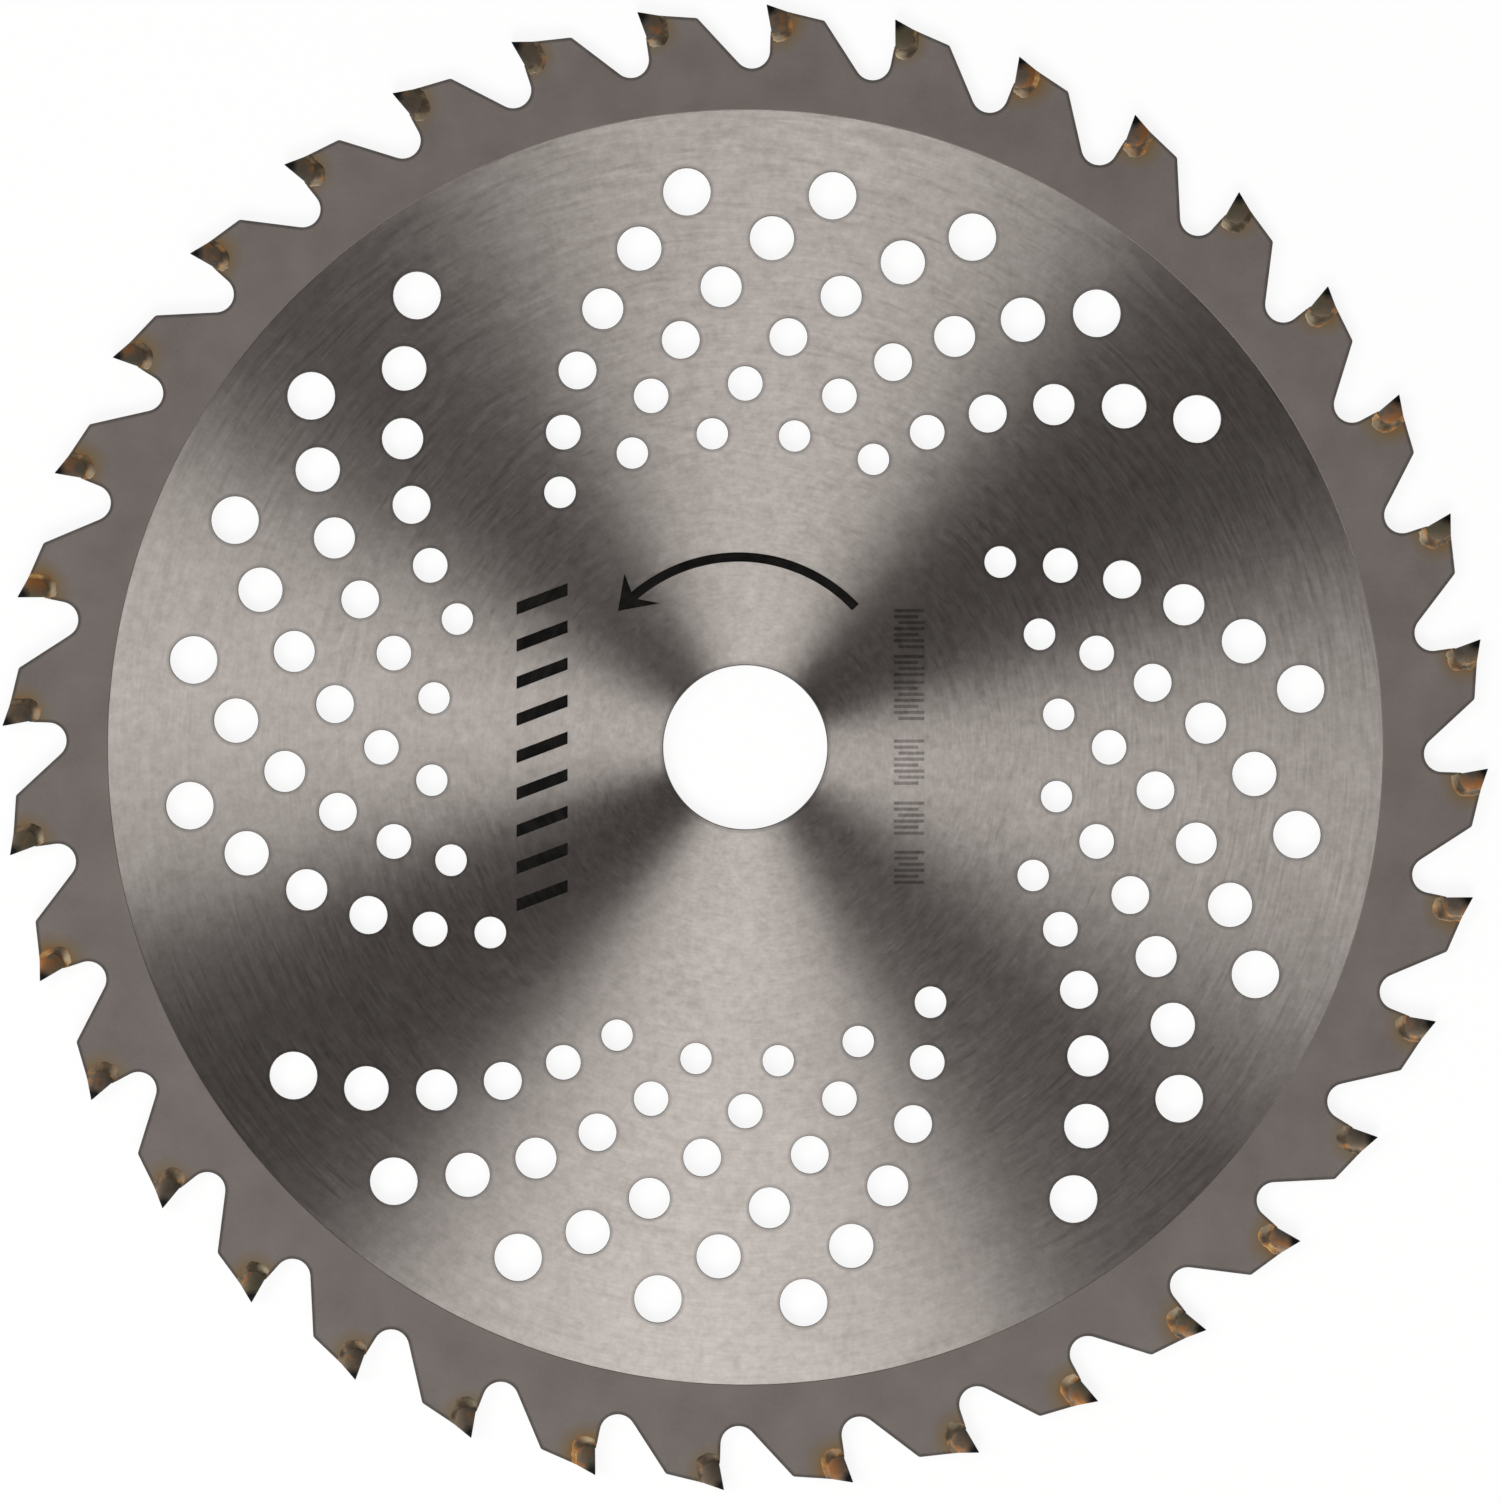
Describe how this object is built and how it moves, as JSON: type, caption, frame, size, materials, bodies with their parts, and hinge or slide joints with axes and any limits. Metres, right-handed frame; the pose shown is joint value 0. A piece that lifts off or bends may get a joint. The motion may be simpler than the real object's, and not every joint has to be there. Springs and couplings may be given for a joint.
{
  "type": "carbide-tipped circular saw blade",
  "caption": "Flat toothed steel disc with a plain centre bore, curved rows of lightening holes and brazed carbide tips, for cutting brush and saplings on a brush cutter.",
  "frame": {"origin": "centre of the bore at the middle of the steel's thickness", "axes": "+Z along the spindle axis, out of the face with the turning arrow; +Y towards the top of the picture, +X towards its right; seen from +Z the blade turns counter-clockwise"},
  "size_m": [0.23, 0.23, 0.0022],
  "materials": {
    "steel": "ground web inside a blasted rim",
    "carbide": "ground sintered carbide",
    "braze": "as brazed, heat-tinted"
  },
  "bodies": {
    "root": {"plate": "steel", "braze": "braze", "tip_01": "carbide", "tip_02": "carbide", "tip_03": "carbide", "tip_04": "carbide", "tip_05": "carbide", "tip_06": "carbide", "tip_07": "carbide", "tip_08": "carbide", "tip_09": "carbide", "tip_10": "carbide", "tip_11": "carbide", "tip_12": "carbide", "tip_13": "carbide", "tip_14": "carbide", "tip_15": "carbide", "tip_16": "carbide", "tip_17": "carbide", "tip_18": "carbide", "tip_19": "carbide", "tip_20": "carbide", "tip_21": "carbide", "tip_22": "carbide", "tip_23": "carbide", "tip_24": "carbide", "tip_25": "carbide", "tip_26": "carbide", "tip_27": "carbide", "tip_28": "carbide", "tip_29": "carbide", "tip_30": "carbide", "tip_31": "carbide", "tip_32": "carbide", "tip_33": "carbide", "tip_34": "carbide", "tip_35": "carbide", "tip_36": "carbide"}
  },
  "joints": []
}
